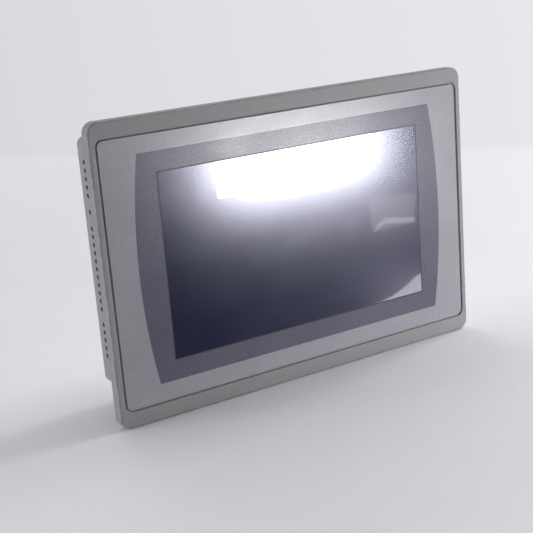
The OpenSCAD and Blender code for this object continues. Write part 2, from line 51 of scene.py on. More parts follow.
scene = bpy.context.scene
MM = 0.001

# ---------------------------------------------------------------- sizes (mm, as in the CAD)
Y_FRONT, Y_BACK = -9.1, -0.8                    # front and rear planes of the bezel
FACE_Z = 0.3                                    # height of the overlay's centre
LIP = 0.6                                       # round where the front drops into the groove
FRONT_ROUND = 1.2
BEZEL = (280, 190, 7)                           # width, height, corner radius
GROOVE = (272, 169.6, 5.1)
SEAT = (269.4, 167, 3.8)                        # what the overlay lies on
TOUCH_POCKET = (218, 139, 1)
VIEW_OPENING = (201, 122, 1)
DISPLAY_ROOM = (240, 150, 3)
SEAL_INNER = (256, 166, 3)
SEAL_OUTER = (272, 182, 6)
Y_GROOVE, Y_SEAT, Y_POCKET, Y_ROOM, Y_SEAL = -7.8, -8.5, -6.5, -5.1, -2.0
POCKET_Z = 0.8

OVERLAY_TOP = -8.9
SCREEN_X, SCREEN_Z = 0.3, 0.9                   # centre of the screen
BAND_TOP, BAND_BOTTOM, BAND_X, BAND_SAG = 73.1, -71.8, 110.6, 6.4
SIDE_POINTS = 24

HOUSING_W, HOUSING_H, REAR, WALL = 251.6, 161.6, 43.7, 2.4
BOTTOM = -HOUSING_H / 2
Y_PARTS = 13.6                                  # face of the main board that carries the ports
PORT_GAP = 0.3
VENT_Y, VENT_Z, VENT_PITCH = 34.9, 65.8, 5.27   # first vent and the step between vents
VENTS = [i for i in range(25) if i not in (5, 7, 19)]
VENT_BORE = [(1.5, -1), (1.5, WALL - 0.25), (1.9, WALL + 0.15)]
TOP_VENTS, TOP_VENTS_X = 13, 52
LEVER_Y0, LEVER_Y1, LEVER_HALF = 7, 10.6, 7     # slots for the clamping levers
PORTS = ((-88, 19.2, 8.6), (-48, 16, 13.4), (-20, 12, 10.9), (14, 13.2, 5.8), (36, 13.2, 5.8))
LEVER_X = 70
BAY_X, BAY_Z = 60, 20                           # centre of the battery bay
COVER_W, COVER_H = 45.6, 35.6                   # recess that the battery cover lies in
EARTH_X, EARTH_Y = -108, 27                     # earth screw
BUTTON_X = 58
LIGHTS_X = (70, 78)
CARD_Z0, CARD_Z1 = -42.5, -17.5                 # memory card slot
CASE_SCREWS = [(x, z) for x in (-118.6, 0, 118.6) for z in (-73.6, 73.6)]
BRACKET_POSTS = [(x, z) for x in (-104, -38, 38, 104) for z in (-69, 69)]
SHARP = math.radians(30)

# ---------------------------------------------------------------- camera
cam_data = bpy.data.cameras.new("camera")
cam_data.lens = 76.84
cam_data.sensor_width = 36
cam_data.clip_start = 0.01
cam_data.clip_end = 50
cam = bpy.data.objects.new("camera", cam_data)
scene.collection.objects.link(cam)
right = Vector((0.84326, -0.53184, -0.07787))
up = Vector((0.20448, 0.18344, 0.96153))
back = Vector((-0.49709, -0.82674, 0.26344))
turn = Matrix((right, up, back)).transposed()
cam.matrix_world = Matrix.Translation((-0.39168, -0.61445, 0.17959)) @ turn.to_4x4()
scene.camera = cam


# ---------------------------------------------------------------- mesh helpers (millimetres)
def outline(w, h, r, cx=0.0, cz=0.0, n=8, m=0):
    """Rounded rectangle seen from the front, anticlockwise, with m points along each side."""
    corners = []
    for sx, sz, a0 in ((1, 1, 0), (-1, 1, 90), (-1, -1, 180), (1, -1, 270)):
        arc = []
        for i in range(n + 1):
            a = math.radians(a0 + 90 * i / n)
            arc.append((cx + sx * (w / 2 - r) + r * math.cos(a),
                        cz + sz * (h / 2 - r) + r * math.sin(a)))
        corners.append(arc)
    points = []
    for k in range(4):
        points += corners[k]
        a, b = corners[k][-1], corners[(k + 1) % 4][0]
        for i in range(1, m + 1):
            t = i / (m + 1)
            points.append((a[0] + (b[0] - a[0]) * t, a[1] + (b[1] - a[1]) * t))
    return points


def add_ring(bm, points, y):
    return [bm.verts.new((x * MM, y * MM, z * MM)) for x, z in points]


def bridge(bm, a, b, material=0):
    n = len(a)
    for i in range(n):
        f = bm.faces.new((a[i], a[(i + 1) % n], b[(i + 1) % n], b[i]))
        f.material_index = material


def shade(o):
    """Smooth faces, sharp corners and weighted normals."""
    o.data.polygons.foreach_set("use_smooth", [True] * len(o.data.polygons))
    o.data.set_sharp_from_angle(angle=SHARP)
    weight = o.modifiers.new("weighted", "WEIGHTED_NORMAL")
    weight.keep_sharp = True


def mesh_object(bm, name):
    bmesh.ops.recalc_face_normals(bm, faces=bm.faces)
    mesh = bpy.data.meshes.new(name)
    bm.to_mesh(mesh)
    bm.free()
    o = bpy.data.objects.new(name, mesh)
    scene.collection.objects.link(o)
    return o


def finish_mesh(bm, name, body, node_name):
    """Turns bm into a piece that rides a body and stands for one CAD node."""
    o = mesh_object(bm, name)
    shade(o)
    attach(o, body)
    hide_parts(node_name)
    return o


def swept(bm, sections, closed=True, n=8, m=0, materials=None):
    """Joins one outline per section into a skin.

    A section is (w, h, r, y, cx, cz) or (points, y).
    """
    rings = []
    for s in sections:
        points = s[0] if isinstance(s[0], list) else outline(s[0], s[1], s[2], s[4], s[5], n, m)
        y = s[1] if isinstance(s[0], list) else s[3]
        rings.append(add_ring(bm, points, y))
    count = len(rings)
    last = count if closed else count - 1
    for i in range(last):
        bridge(bm, rings[i], rings[(i + 1) % count], materials[i] if materials else 0)
    return rings


def fillet(w, h, r, y0, step, radius, steps=6):
    """Sections that turn a side wall into a face. y0 is the face, and step the way to the wall."""
    out = []
    for i in range(steps + 1):
        a = math.radians(90 * i / steps)
        inset = radius * (1 - math.cos(a))
        y = y0 + step * radius * (1 - math.sin(a))
        out.append((w - 2 * inset, h - 2 * inset, max(r - inset, 0.15), y, 0, 0))
    return out


def lathe(bm, profile, place, segments=32):
    """Closed body of revolution. profile is (radius, distance along the axis)."""
    rings = []
    for radius, along in profile:
        ring = []
        for i in range(segments):
            a = 2 * math.pi * i / segments
            ring.append(bm.verts.new(place @ Vector((radius * math.cos(a), radius * math.sin(a),
                                                     along))))
        rings.append(ring)
    for a, b in zip(rings, rings[1:]):
        bridge(bm, a, b)
    bm.faces.new(rings[0])
    bm.faces.new(rings[-1])


def axis_place(x, y, z, direction):
    """Matrix that stands a lathe at a point in millimetres, with its axis along direction."""
    spin = Vector(direction).to_track_quat("Z", "Y").to_matrix().to_4x4()
    return Matrix.Scale(MM, 4) @ Matrix.Translation((x, y, z)) @ spin


def box(bm, x0, x1, y0, y1, z0, z1):
    """A plain block, used only as a boolean tool."""
    made = bmesh.ops.create_cube(bm, size=1)
    grow = Matrix.Diagonal(((x1 - x0) * MM, (y1 - y0) * MM, (z1 - z0) * MM, 1))
    move = Matrix.Translation(((x0 + x1) / 2 * MM, (y0 + y1) / 2 * MM, (z0 + z1) / 2 * MM))
    bmesh.ops.transform(bm, matrix=move @ grow, verts=made["verts"])


def plate(bm, w, h, r, y0, y1, cx=0.0, cz=0.0, n=6):
    rings = swept(bm, [(w, h, r, y0, cx, cz), (w, h, r, y1, cx, cz)], closed=False, n=n)
    bm.faces.new(rings[0])
    bm.faces.new(rings[-1])


def combine(target, tools):
    """Applies (operation, object) pairs to target's mesh and removes the tools."""
    for operation, tool in tools:
        b = target.modifiers.new("cut", "BOOLEAN")
        b.operation = operation
        b.solver = "EXACT"
        b.object = tool
    depsgraph = bpy.context.evaluated_depsgraph_get()
    mesh = bpy.data.meshes.new_from_object(target.evaluated_get(depsgraph))
    target.modifiers.clear()
    old = target.data
    target.data = mesh
    bpy.data.meshes.remove(old)
    for _, tool in tools:
        bpy.data.objects.remove(tool)


# ---------------------------------------------------------------- material helpers
class Maker:
    """A small wrapper round one material's node tree."""

    def __init__(self, name):
        self.material = bpy.data.materials.new(name)
        self.material.use_nodes = True
        self.tree = self.material.node_tree
        self.shader = self.tree.nodes["Principled BSDF"]
        self.place = self.tree.nodes.new("ShaderNodeTexCoord").outputs["Object"]

    def link(self, a, b):
        self.tree.links.new(a, b)

    def stretched(self, scale):
        n = self.tree.nodes.new("ShaderNodeMapping")
        n.inputs["Scale"].default_value = scale
        self.link(self.place, n.inputs["Vector"])
        return n.outputs["Vector"]

    def noise(self, size, detail=2.0, rough=0.5, vector=None):
        n = self.tree.nodes.new("ShaderNodeTexNoise")
        n.inputs["Scale"].default_value = 1 / size
        n.inputs["Detail"].default_value = detail
        n.inputs["Roughness"].default_value = rough
        self.link(vector or self.place, n.inputs["Vector"])
        return n.outputs["Fac"]

    def cells(self, size):
        n = self.tree.nodes.new("ShaderNodeTexVoronoi")
        n.inputs["Scale"].default_value = 1 / size
        self.link(self.place, n.inputs["Vector"])
        return n.outputs["Distance"]

    def span(self, value, a, b, low, high):
        n = self.tree.nodes.new("ShaderNodeMapRange")
        self.link(value, n.inputs["Value"])
        for name, v in (("From Min", a), ("From Max", b), ("To Min", low), ("To Max", high)):
            n.inputs[name].default_value = v
        return n.outputs["Result"]

    def multiply(self, a, b):
        n = self.tree.nodes.new("ShaderNodeMath")
        n.operation = "MULTIPLY"
        for i, v in enumerate((a, b)):
            if isinstance(v, (int, float)):
                n.inputs[i].default_value = v
            else:
                self.link(v, n.inputs[i])
        return n.outputs["Value"]

    def add(self, a, b):
        n = self.tree.nodes.new("ShaderNodeMath")
        self.link(a, n.inputs[0])
        self.link(b, n.inputs[1])
        return n.outputs["Value"]

    def mix(self, factor, a, b):
        n = self.tree.nodes.new("ShaderNodeMix")
        n.data_type = "RGBA"
        self.link(factor, n.inputs["Factor"])
        for socket, v in ((n.inputs[6], a), (n.inputs[7], b)):
            if isinstance(v, tuple):
                socket.default_value = (*v, 1)
            else:
                self.link(v, socket)
        return n.outputs[2]

    def bump(self, height, depth):
        n = self.tree.nodes.new("ShaderNodeBump")
        n.inputs["Distance"].default_value = depth
        n.inputs["Strength"].default_value = 1.0
        self.link(height, n.inputs["Height"])
        self.link(n.outputs["Normal"], self.shader.inputs["Normal"])

    def set(self, **values):
        for name, v in values.items():
            socket = self.shader.inputs[name.replace("_", " ")]
            if isinstance(v, tuple) and len(v) == 3:
                v = (*v, 1)
            socket.default_value = v


def tint(colour, k):
    return tuple(min(1.0, c * k) for c in colour)


def moulded(name, colour, rough=0.5, grain=0.0006, depth=0.00003, speck=0.08, mottle=0.05,
            level=0.5, spread=0.05, wear=0.0, glint=0.0):
    """Moulded or printed plastic: fine grain, slight mottling and uneven sheen."""
    m = Maker(name)
    fine = m.noise(grain, 3.0, 0.65)
    broad = m.noise(0.035, 4.0, 0.55)
    base = m.mix(m.span(broad, 0.3, 0.7, 0, 1), tint(colour, 1 - mottle), tint(colour, 1 + mottle))
    base = m.mix(m.span(fine, 0.3, 0.7, 0, 1), tint(colour, 1 - speck), base)
    if wear:
        edge = m.tree.nodes.new("ShaderNodeAttribute")
        edge.attribute_name = "edge"
        rub = m.multiply(edge.outputs["Fac"], m.span(m.noise(0.006, 5.0, 0.7), 0.35, 0.65, 0, 1))
        base = m.mix(m.multiply(rub, wear), base, tint(colour, 1.9))
    m.link(base, m.shader.inputs["Base Color"])
    sheen = m.span(broad, 0.3, 0.7, rough - spread, rough + spread)
    if glint:
        sheen = m.add(sheen, m.span(fine, 0.3, 0.7, glint, -glint))
    m.link(sheen, m.shader.inputs["Roughness"])
    m.set(Specular_IOR_Level=level)
    m.bump(fine, depth)
    return m.material


def metal(name, colour, rough=0.35, along=(1, 1, 12), depth=0.000006, tarnish=0.82):
    """Plated or brushed metal: fine drawn lines and cloudy tarnish."""
    m = Maker(name)
    lines = m.noise(0.0009, 3.0, 0.6, m.stretched(along))
    cloud = m.noise(0.009, 4.0, 0.6)
    base = m.mix(m.span(cloud, 0.3, 0.7, 0, 1), tint(colour, tarnish), tint(colour, 1.05))
    m.link(base, m.shader.inputs["Base Color"])
    m.set(Metallic=1.0)
    m.link(m.span(cloud, 0.3, 0.7, rough - 0.08, rough + 0.12), m.shader.inputs["Roughness"])
    m.bump(lines, depth)
    return m.material


def rubber(name, colour):
    m = Maker(name)
    pores = m.cells(0.0011)
    dust = m.noise(0.012, 4.0, 0.6)
    base = m.mix(m.span(dust, 0.4, 0.75, 0, 1), colour, tint(colour, 2.2))
    m.link(base, m.shader.inputs["Base Color"])
    m.link(m.span(dust, 0.3, 0.7, 0.75, 0.92), m.shader.inputs["Roughness"])
    m.set(Specular_IOR_Level=0.3)
    m.bump(pores, 0.00012)
    return m.material


def clear(name, colour, rough=0.08):
    m = Maker(name)
    haze = m.noise(0.004, 3.0, 0.6)
    m.link(m.mix(haze, tint(colour, 0.92), colour), m.shader.inputs["Base Color"])
    m.link(m.span(haze, 0.3, 0.7, rough, rough + 0.1), m.shader.inputs["Roughness"])
    m.set(Transmission_Weight=0.85, IOR=1.5)
    m.bump(haze, 0.00002)
    return m.material


def circuit(name):
    """Green solder mask with tracks and pads under it."""
    m = Maker(name)
    lattice = m.tree.nodes.new("ShaderNodeTexBrick")
    lattice.inputs["Scale"].default_value = 95
    lattice.inputs["Mortar Size"].default_value = 0.035
    turned = m.tree.nodes.new("ShaderNodeMapping")
    turned.inputs["Rotation"].default_value = (math.radians(90), 0, 0)
    m.link(m.place, turned.inputs["Vector"])
    m.link(turned.outputs["Vector"], lattice.inputs["Vector"])
    tracks = m.span(lattice.outputs["Fac"], 0, 1, 0, 1)
    cloud = m.noise(0.02, 3.0, 0.5)
    mask = m.mix(m.span(cloud, 0.3, 0.7, 0, 1), (0.008, 0.075, 0.030), (0.012, 0.100, 0.042))
    m.link(m.mix(tracks, mask, (0.035, 0.190, 0.080)), m.shader.inputs["Base Color"])
    m.link(m.span(cloud, 0.3, 0.7, 0.28, 0.4), m.shader.inputs["Roughness"])
    m.bump(tracks, 0.00003)
    return m.material


# ---------------------------------------------------------------- materials of the outside
HOUSING_GREY = (0.365, 0.358, 0.375)
mat_bezel = moulded("bezel_grey", (0.338, 0.326, 0.339), rough=0.60, grain=0.0008,
                    depth=0.00006, speck=0.12, mottle=0.05, level=0.3, wear=0.5)
mat_housing = moulded("housing_grey", HOUSING_GREY, rough=0.58, grain=0.0009, depth=0.00008,
                      speck=0.12, mottle=0.06, level=0.35)
mat_field = moulded("overlay_field", (0.460, 0.455, 0.507), rough=0.30, grain=0.0008,
                    depth=0.00007, speck=0.42, mottle=0.02, level=0.42, spread=0.055, glint=0.18)
mat_band = moulded("overlay_band", (0.213, 0.202, 0.286), rough=0.31, grain=0.0008,
                   depth=0.00010, speck=0.80, mottle=0.02, level=0.39, spread=0.070, glint=0.28)
mat_line = moulded("overlay_line", (0.035, 0.035, 0.045), 0.5, 0.0008, 0.00002)


def screen_material():
    """Hard-coated clear film over an unlit display: a crisp gloss over a soft haze."""
    m = Maker("screen_dark")
    fine = m.noise(0.00035, 2.0, 0.6)
    smear = m.noise(0.03, 4.0, 0.6, m.stretched((1.0, 1.0, 1.8)))
    dark, pale = (0.0013, 0.0048, 0.039), (0.0020, 0.0064, 0.045)
    m.link(m.mix(m.span(smear, 0.3, 0.7, 0, 1), dark, pale), m.shader.inputs["Base Color"])
    m.link(m.span(smear, 0.3, 0.7, 0.228, 0.252), m.shader.inputs["Roughness"])
    m.set(IOR=1.92, Specular_Tint=(0.845, 0.84, 0.995), Coat_Weight=0.6, Coat_Roughness=0.03)
    m.bump(fine, 0.0000006)
    return m.material


mat_screen = screen_material()

# ---------------------------------------------------------------- front bezel
bm = bmesh.new()
sections = [(279.2, 189.2, 6.6, Y_BACK, 0, 0), (279.76, 189.76, 6.88, -0.92, 0, 0),
            (*BEZEL, -1.2, 0, 0)]
sections += fillet(*BEZEL, Y_FRONT, 1, FRONT_ROUND, steps=8)
LIP_STEPS = 4
for i in range(LIP_STEPS + 1):
    a = math.radians(90 * i / LIP_STEPS)
    off = LIP * (1 - math.sin(a))
    sections.append((GROOVE[0] + 2 * off, GROOVE[1] + 2 * off, GROOVE[2] + off,
                     Y_FRONT + LIP * (1 - math.cos(a)), 0, FACE_Z))
sections += [(*GROOVE, Y_GROOVE, 0, FACE_Z), (*SEAT, Y_GROOVE, 0, FACE_Z),
             (*SEAT, Y_SEAT, 0, FACE_Z), (*TOUCH_POCKET, Y_SEAT, 0, POCKET_Z),
             (*TOUCH_POCKET, Y_POCKET, 0, POCKET_Z), (*VIEW_OPENING, Y_POCKET, 0, POCKET_Z),
             (*VIEW_OPENING, Y_ROOM, 0, POCKET_Z), (*DISPLAY_ROOM, Y_ROOM, 0, 0),
             (*DISPLAY_ROOM, Y_BACK, 0, 0), (*SEAL_INNER, Y_BACK, 0, 0),
             (*SEAL_INNER, Y_SEAL, 0, 0), (*SEAL_OUTER, Y_SEAL, 0, 0),
             (*SEAL_OUTER, Y_BACK, 0, 0)]
# "edge" is how rubbed the front round is, most at its middle
ROUND_FIRST, ROUND_LAST = 3, 10
edge = bm.verts.layers.float.new("edge")
rings = swept(bm, sections, n=10)
for k in range(ROUND_FIRST, ROUND_LAST + 1):
    for v in rings[k]:
        v[edge] = math.sin(math.pi * (k - ROUND_FIRST + 1) / (ROUND_LAST - ROUND_FIRST + 2))
# bosses for the housing screws, and posts for the display bracket's screws
for x, z in CASE_SCREWS:
    lathe(bm, [(1.5, -3), (1.5, 10), (3.5, 10), (3.5, -5.5), (1.5, -5.5), (1.5, -3.01)],
          axis_place(x, 0, z, (0, 1, 0)))
for x, z in BRACKET_POSTS:
    lathe(bm, [(1.5, -4.5), (1.5, 2.2), (3.5, 2.2), (3.5, -5.5), (1.5, -5.5), (1.5, -4.51)],
          axis_place(x, 0, z, (0, 1, 0)))
bezel = finish_mesh(bm, "bezel_body", "terminal", "front_bezel")
bezel.data.materials.append(mat_bezel)

# ---------------------------------------------------------------- printed overlay
def band_outline():
    """The band's outer outline: straight above and below, and bowed outwards at the sides."""
    h = BAND_TOP - BAND_BOTTOM
    mid = (BAND_TOP + BAND_BOTTOM) / 2
    points = outline(2 * BAND_X, h, 0.5, 0, mid, 8, SIDE_POINTS)
    radius = h * h / (8 * BAND_SAG) + BAND_SAG / 2
    bowed = []
    for x, z in points:
        if abs(x) > BAND_X - 0.6:
            dx = math.sqrt(radius * radius - (z - mid) ** 2) - (radius - BAND_SAG)
            x += math.copysign(max(dx, 0), x)
        bowed.append((x, z))
    return bowed


bm = bmesh.new()
sections = [(*SEAT, Y_SEAT, 0, FACE_Z), (*SEAT, -8.76, 0, FACE_Z),
            (269.32, 166.92, 3.76, -8.85, 0, FACE_Z),
            (269.12, 166.72, 3.66, OVERLAY_TOP, 0, FACE_Z), (band_outline(), OVERLAY_TOP),
            (198.7, 119.7, 0.6, OVERLAY_TOP, SCREEN_X, SCREEN_Z),
            (197.4, 118.4, 0.3, OVERLAY_TOP, SCREEN_X, SCREEN_Z),
            (197.4, 118.4, 0.3, Y_SEAT, SCREEN_X, SCREEN_Z)]
swept(bm, sections, m=SIDE_POINTS, materials=[0, 0, 0, 0, 1, 2, 2, 0])
overlay = finish_mesh(bm, "overlay_print", "terminal", "front_overlay")
for mat in (mat_field, mat_band, mat_line):
    overlay.data.materials.append(mat)

bm = bmesh.new()
sections = [(197.2, 118.2, 0.25, Y_SEAT, SCREEN_X, SCREEN_Z),
            (197.2, 118.2, 0.25, -8.8, SCREEN_X, SCREEN_Z),
            (197.1, 118.1, 0.2, -8.86, SCREEN_X, SCREEN_Z)]
rings = swept(bm, sections, closed=False, n=4)
bm.faces.new(rings[0])
bm.faces.new(rings[-1])
window = finish_mesh(bm, "screen_window", "terminal", "front_overlay")
window.data.materials.append(mat_screen)

# ---------------------------------------------------------------- rear housing
bm = bmesh.new()
IN_W, IN_H, IN_R = HOUSING_W - 2 * WALL, HOUSING_H - 2 * WALL, 2.6
outer = [(HOUSING_W, HOUSING_H, 5, Y_BACK, 0, 0)] + fillet(HOUSING_W, HOUSING_H, 5, REAR, -1, 1.5)
inner = [(IN_W, IN_H, IN_R, Y_BACK, 0, 0)] + fillet(IN_W, IN_H, IN_R, REAR - WALL, -1, 1.0)
rings_out = swept(bm, outer, closed=False)
rings_in = swept(bm, inner, closed=False)
bridge(bm, rings_out[0], rings_in[0])
bm.faces.new(rings_out[-1])
bm.faces.new(rings_in[-1])
housing = finish_mesh(bm, "housing_shell", "terminal", "rear_housing")
housing.modifiers.clear()

# what is added: screw pillars, the battery bay's frame and the earth screw's block
plus = bmesh.new()
for x, z in CASE_SCREWS:
    lathe(plus, [(4.2, 10), (4.2, 42.5)], axis_place(x, 0, z, (0, 1, 0)))
plate(plus, 51, 41, 2, 39.7, 42.6, BAY_X, BAY_Z)
box(plus, EARTH_X - 5, EARTH_X + 5, EARTH_Y - 5, EARTH_Y + 5, BOTTOM + 0.6, BOTTOM + 9)

# what is cut: screw bores, vents, lever slots, ports, light pipe and button bores, earth bore,
# card slot, plate recess and battery bay
cut = bmesh.new()
for x, z in CASE_SCREWS:
    lathe(cut, [(1.7, 9), (1.7, 12.5), (3.2, 12.5), (3.2, REAR - 0.4), (3.8, REAR + 0.2)],
          axis_place(x, 0, z, (0, 1, 0)))
for i in VENTS:
    for side in (-1, 1):
        lathe(cut, VENT_BORE, axis_place(side * (HOUSING_W / 2 - WALL), VENT_Y,
                                         VENT_Z - VENT_PITCH * i,
                                         (side, 0, 0)), 24)
for side in (-1, 1):
    for i in range(TOP_VENTS):
        x = side * TOP_VENTS_X + (i - TOP_VENTS // 2) * VENT_PITCH
        lathe(cut, VENT_BORE, axis_place(x, VENT_Y, HOUSING_H / 2 - WALL, (0, 0, 1)), 24)
    box(cut, side * HOUSING_W / 2 - 4, side * HOUSING_W / 2 + 4, LEVER_Y0, LEVER_Y1,
        -LEVER_HALF, LEVER_HALF)
    for x in (-LEVER_X, LEVER_X):
        box(cut, x - LEVER_HALF, x + LEVER_HALF, LEVER_Y0, LEVER_Y1,
            side * HOUSING_H / 2 - 4, side * HOUSING_H / 2 + 4)
for x, w, h in PORTS:
    box(cut, x - w / 2 - PORT_GAP, x + w / 2 + PORT_GAP, Y_PARTS - PORT_GAP,
        Y_PARTS + h + PORT_GAP, BOTTOM - 1, BOTTOM + WALL + 1)
for x in LIGHTS_X:
    lathe(cut, [(1.5, -1), (1.5, WALL + 1)], axis_place(x, Y_PARTS + 1.6, BOTTOM, (0, 0, 1)), 24)
lathe(cut, [(2.0, -1), (2.0, WALL + 1)], axis_place(BUTTON_X, Y_PARTS + 2, BOTTOM, (0, 0, 1)))
lathe(cut, [(3.2, -1), (3.2, 8)], axis_place(EARTH_X, EARTH_Y, BOTTOM, (0, 0, 1)))
box(cut, HOUSING_W / 2 - WALL - 1, HOUSING_W / 2 + 1, Y_PARTS, Y_PARTS + 3.2,
    CARD_Z0, CARD_Z1)
plate(cut, 70, 45, 2, REAR - 0.3, REAR + 1, -50, -5)
plate(cut, 40, 28, 1, REAR - WALL - 5, REAR + 1, BAY_X, BAY_Z - 1)

# the cover's own recess, its pin groove and the finger scoop
recess = bmesh.new()
box(recess, BAY_X - COVER_W / 2, BAY_X + COVER_W / 2, REAR - 1.8, REAR + 1,
    BAY_Z - COVER_H / 2, BAY_Z + COVER_H / 2)
scoop = bmesh.new()
lathe(scoop, [(0.65, -24.5), (0.65, 24.5)], axis_place(BAY_X, REAR - 0.8, 36.7, (1, 0, 0)), 24)
plate(scoop, 16, 6, 1.5, REAR - 1.2, REAR + 1, BAY_X, 1.5)
tools = [mesh_object(tool, "tool") for tool in (plus, cut, recess, scoop)]
combine(housing, list(zip(("UNION", "DIFFERENCE", "DIFFERENCE", "DIFFERENCE"), tools)))
shade(housing)
housing.data.materials.clear()
housing.data.materials.append(mat_housing)

# ---------------------------------------------------------------- CAD nodes: finishes
steel = metal("zinc_steel", (0.60, 0.60, 0.61), 0.38)
nickel = metal("nickel", (0.66, 0.64, 0.60), 0.30, (1, 12, 1))
brass = metal("brass", (0.72, 0.52, 0.22), 0.32)
sink = metal("anodised", (0.045, 0.045, 0.05), 0.45, (1, 1, 14), 0.00001)
sleeve = moulded("sleeve_blue", (0.012, 0.018, 0.070), 0.30, 0.0010, 0.00001)
foam = rubber("foam_black", (0.022, 0.022, 0.024))
tape = rubber("tape_black", (0.015, 0.015, 0.016))
pad = rubber("pad_grey", (0.20, 0.27, 0.33))
white = moulded("connector_white", (0.66, 0.64, 0.57), 0.45, 0.0007, 0.00002)
black = moulded("black_plastic", (0.016, 0.016, 0.018), 0.42, 0.0007, 0.00003, 0.2)
chip = moulded("chip_black", (0.020, 0.020, 0.022), 0.55, 0.0004, 0.00002, 0.2)
green = moulded("terminal_green", (0.020, 0.160, 0.070), 0.42, 0.0007, 0.00003, 0.10)
amber = moulded("flex_amber", (0.45, 0.19, 0.03), 0.30, 0.0012, 0.00001)
ferrite = moulded("ferrite", (0.045, 0.045, 0.048), 0.65, 0.0006, 0.00006, 0.2)
cap = moulded("button_black", (0.020, 0.020, 0.022), 0.40, 0.0006, 0.00002, 0.2)
glass = clear("sensor_glass", (0.86, 0.92, 0.95))
pipe = clear("light_pipe", (0.88, 0.95, 0.90), 0.15)
lcd = moulded("lcd_black", (0.006, 0.007, 0.012), 0.18, 0.0012, 0.00001)
foil = metal("foil_plate", (0.56, 0.56, 0.56), 0.42, (14, 1, 1), 0.000008, 0.94)
cell = metal("cell_steel", (0.70, 0.70, 0.70), 0.25, (1, 12, 1))
board = circuit("solder_mask")
door = moulded("door_grey", HOUSING_GREY, 0.55, 0.0009, 0.00007, 0.10, 0.06)

finishes = {
    "touch_sensor": glass, "touch_tape": tape, "touch_tail": amber, "touch_connector": white,
    "display_gasket": foam, "lcd_frame": steel, "lcd_glass": lcd, "backlight": white,
    "display_bracket": steel, "bracket_screws": steel, "panel_gasket": foam,
    "board_standoffs": brass, "main_board": board, "board_screws": steel,
    "display_connector": white, "display_cable": amber, "processor": chip, "thermal_pad": pad,
    "heat_sink": sink, "memory_chips": chip, "supply_capacitors": sleeve,
    "supply_inductor": ferrite, "supply_header": green, "header_pins": steel,
    "power_plug": green, "plug_contacts": steel, "clamp_screw_1": steel, "clamp_screw_2": steel,
    "clamp_screw_3": steel, "clamp_cage_1": nickel, "clamp_cage_2": nickel,
    "clamp_cage_3": nickel, "ethernet_jack": nickel, "ethernet_contacts": brass,
    "usb_host_shells": nickel, "usb_host_tongues": white, "usb_device_shell": nickel,
    "usb_device_tongue": white, "card_socket": nickel, "battery_holder": black,
    "battery_clip": brass, "coin_cell": cell, "battery_cover": door, "reset_switch": black,
    "reset_button": cap, "status_leds": white, "light_pipes": pipe,
    "ground_insert": brass, "ground_washer": steel, "ground_screw": brass,
    "housing_screws": steel, "rating_plate": foil,
}
# widths of the softened edges in millimetres
SOFT = {"power_plug": 0.35, "supply_header": 0.2, "ethernet_jack": 0.3, "usb_host_shells": 0.15,
        "usb_device_shell": 0.15, "battery_cover": 0.2, "ground_screw": 0.3,
        "ground_washer": 0.12, "reset_button": 0.25, "housing_screws": 0.2, "light_pipes": 0.25,
        "board_screws": 0.2, "bracket_screws": 0.2, "panel_gasket": 0.3, "heat_sink": 0.15,
        "supply_capacitors": 0.6, "coin_cell": 0.3, "main_board": 0.12, "processor": 0.15,
        "memory_chips": 0.12, "supply_inductor": 0.6, "card_socket": 0.15,
        "display_bracket": 0.15, "lcd_frame": 0.2, "rating_plate": 0.05, "clamp_screw_1": 0.1,
        "clamp_screw_2": 0.1, "clamp_screw_3": 0.1}
# these have bores in their faces, so flat faces are merged before the edges are softened
FLAT_FIRST = ("power_plug", "ethernet_jack")
for name, mat in finishes.items():
    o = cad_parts[name]
    o.data.materials.clear()
    o.data.materials.append(mat)
    if name in SOFT:
        weld = o.modifiers.new("weld", "WELD")
        weld.merge_threshold = 0.000002
        if name in FLAT_FIRST:
            flat = o.modifiers.new("flat_faces", "DECIMATE")
            flat.decimate_type = "DISSOLVE"
            flat.angle_limit = math.radians(1)
        soft = o.modifiers.new("soft_edges", "BEVEL")
        soft.width = SOFT[name] * MM
        soft.segments = 2
        soft.limit_method = "ANGLE"
        soft.angle_limit = math.radians(40)

# ---------------------------------------------------------------- floor
FLOOR_Z = cad_low.z
FLOOR_DROP = 0.0002
FAR, NEAR, LEFT, RIGHT = 0.838, -1.3, 1.6, -0.85    # the floor's edges, as the camera sees them
outward = Vector((0.795, 0.606, 0))
along = Vector((-0.606, 0.795, 0))


def floor_sheet(name, points, material):
    """One sheet of the floor. A point is (distance outward, distance along, height)."""
    bm = bmesh.new()
    corners = []
    for far, side, height in points:
        p = outward * far + along * side
        corners.append(bm.verts.new((p.x, p.y, FLOOR_Z + height)))
    bm.faces.new(corners)
    o = mesh_object(bm, name)
    o.data.materials.append(material)
    return o


floor_mat = moulded("floor_paper", (0.92, 0.92, 0.945), rough=0.9, grain=0.004, depth=0.0001,
                    speck=0.01, mottle=0.01, level=0.15)
floor = floor_sheet("floor", ((FAR, RIGHT, -FLOOR_DROP), (FAR, LEFT, -FLOOR_DROP),
                              (NEAR, LEFT, -FLOOR_DROP), (NEAR, RIGHT, -FLOOR_DROP)), floor_mat)
floor.visible_glossy = False

# the floor's far edge turns up a little
edge_mat = moulded("floor_edge", (0.90, 0.90, 0.92), rough=0.9, grain=0.004, depth=0.0001,
                   speck=0.01, mottle=0.01, level=0.1)
floor_sheet("floor_edge", ((0.8385, RIGHT, -FLOOR_DROP), (0.8385, LEFT, -FLOOR_DROP),
                           (0.86, LEFT, 0.0022), (0.86, RIGHT, 0.0022)), edge_mat)

